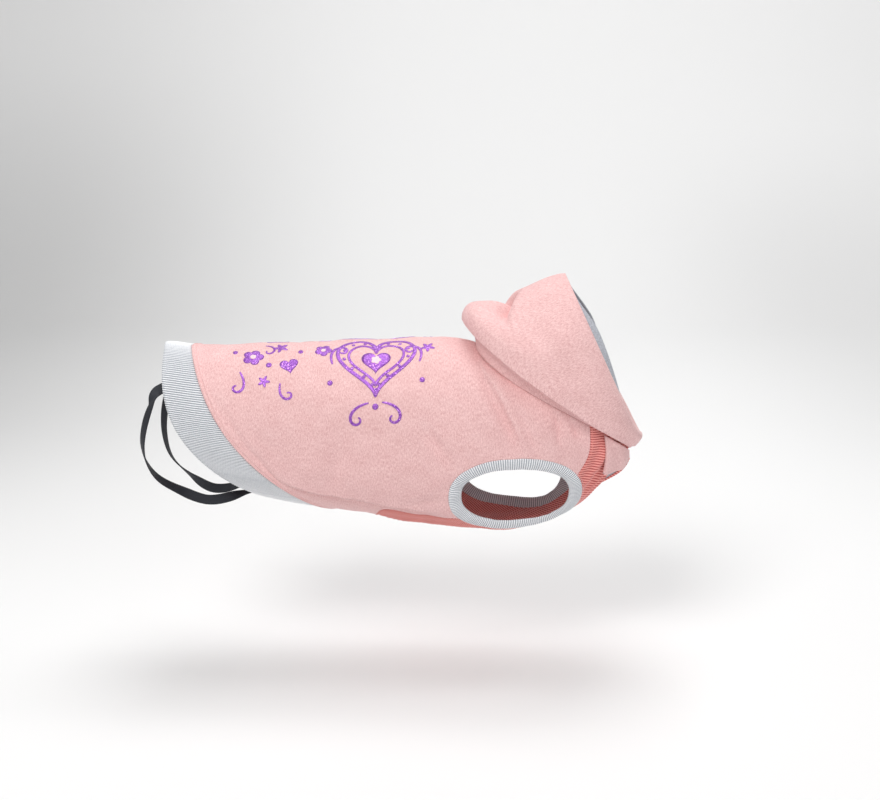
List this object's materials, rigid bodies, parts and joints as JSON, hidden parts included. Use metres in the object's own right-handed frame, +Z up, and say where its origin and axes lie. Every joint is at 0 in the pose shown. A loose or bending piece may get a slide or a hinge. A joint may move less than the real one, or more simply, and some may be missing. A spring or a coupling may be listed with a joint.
{
  "type": "dog sweatshirt",
  "caption": "Sleeveless hooded pet sweatshirt in fleece with ribbed hem, chest panel, armhole bindings and elastic leg loops, held in its worn form.",
  "frame": {"origin": "mount back_rest, on the inside of the back panel above the spine, where the worn garment hangs", "axes": "+X along the back towards the hood, +Y to the garment's left side, +Z up"},
  "size_m": [0.4931, 0.151, 0.2615],
  "materials": {
    "fleece": "brushed pink heather fleece, matte",
    "coral_rib": "coral rib knit, matte",
    "grey_rib": "grey heather rib knit, matte",
    "lining": "grey heather jersey, matte",
    "elastic": "black woven elastic tape"
  },
  "bodies": {
    "root": {"body_panel": "fleece", "hood_shell": "fleece", "collar_front": "fleece", "collar_flap": "fleece", "chest_panel": "coral_rib", "hem_band": "grey_rib", "armhole_binding_right": "grey_rib", "armhole_binding_left": "grey_rib", "hood_lining": "lining", "leg_strap_right": "elastic", "leg_strap_left": "elastic"}
  },
  "joints": []
}
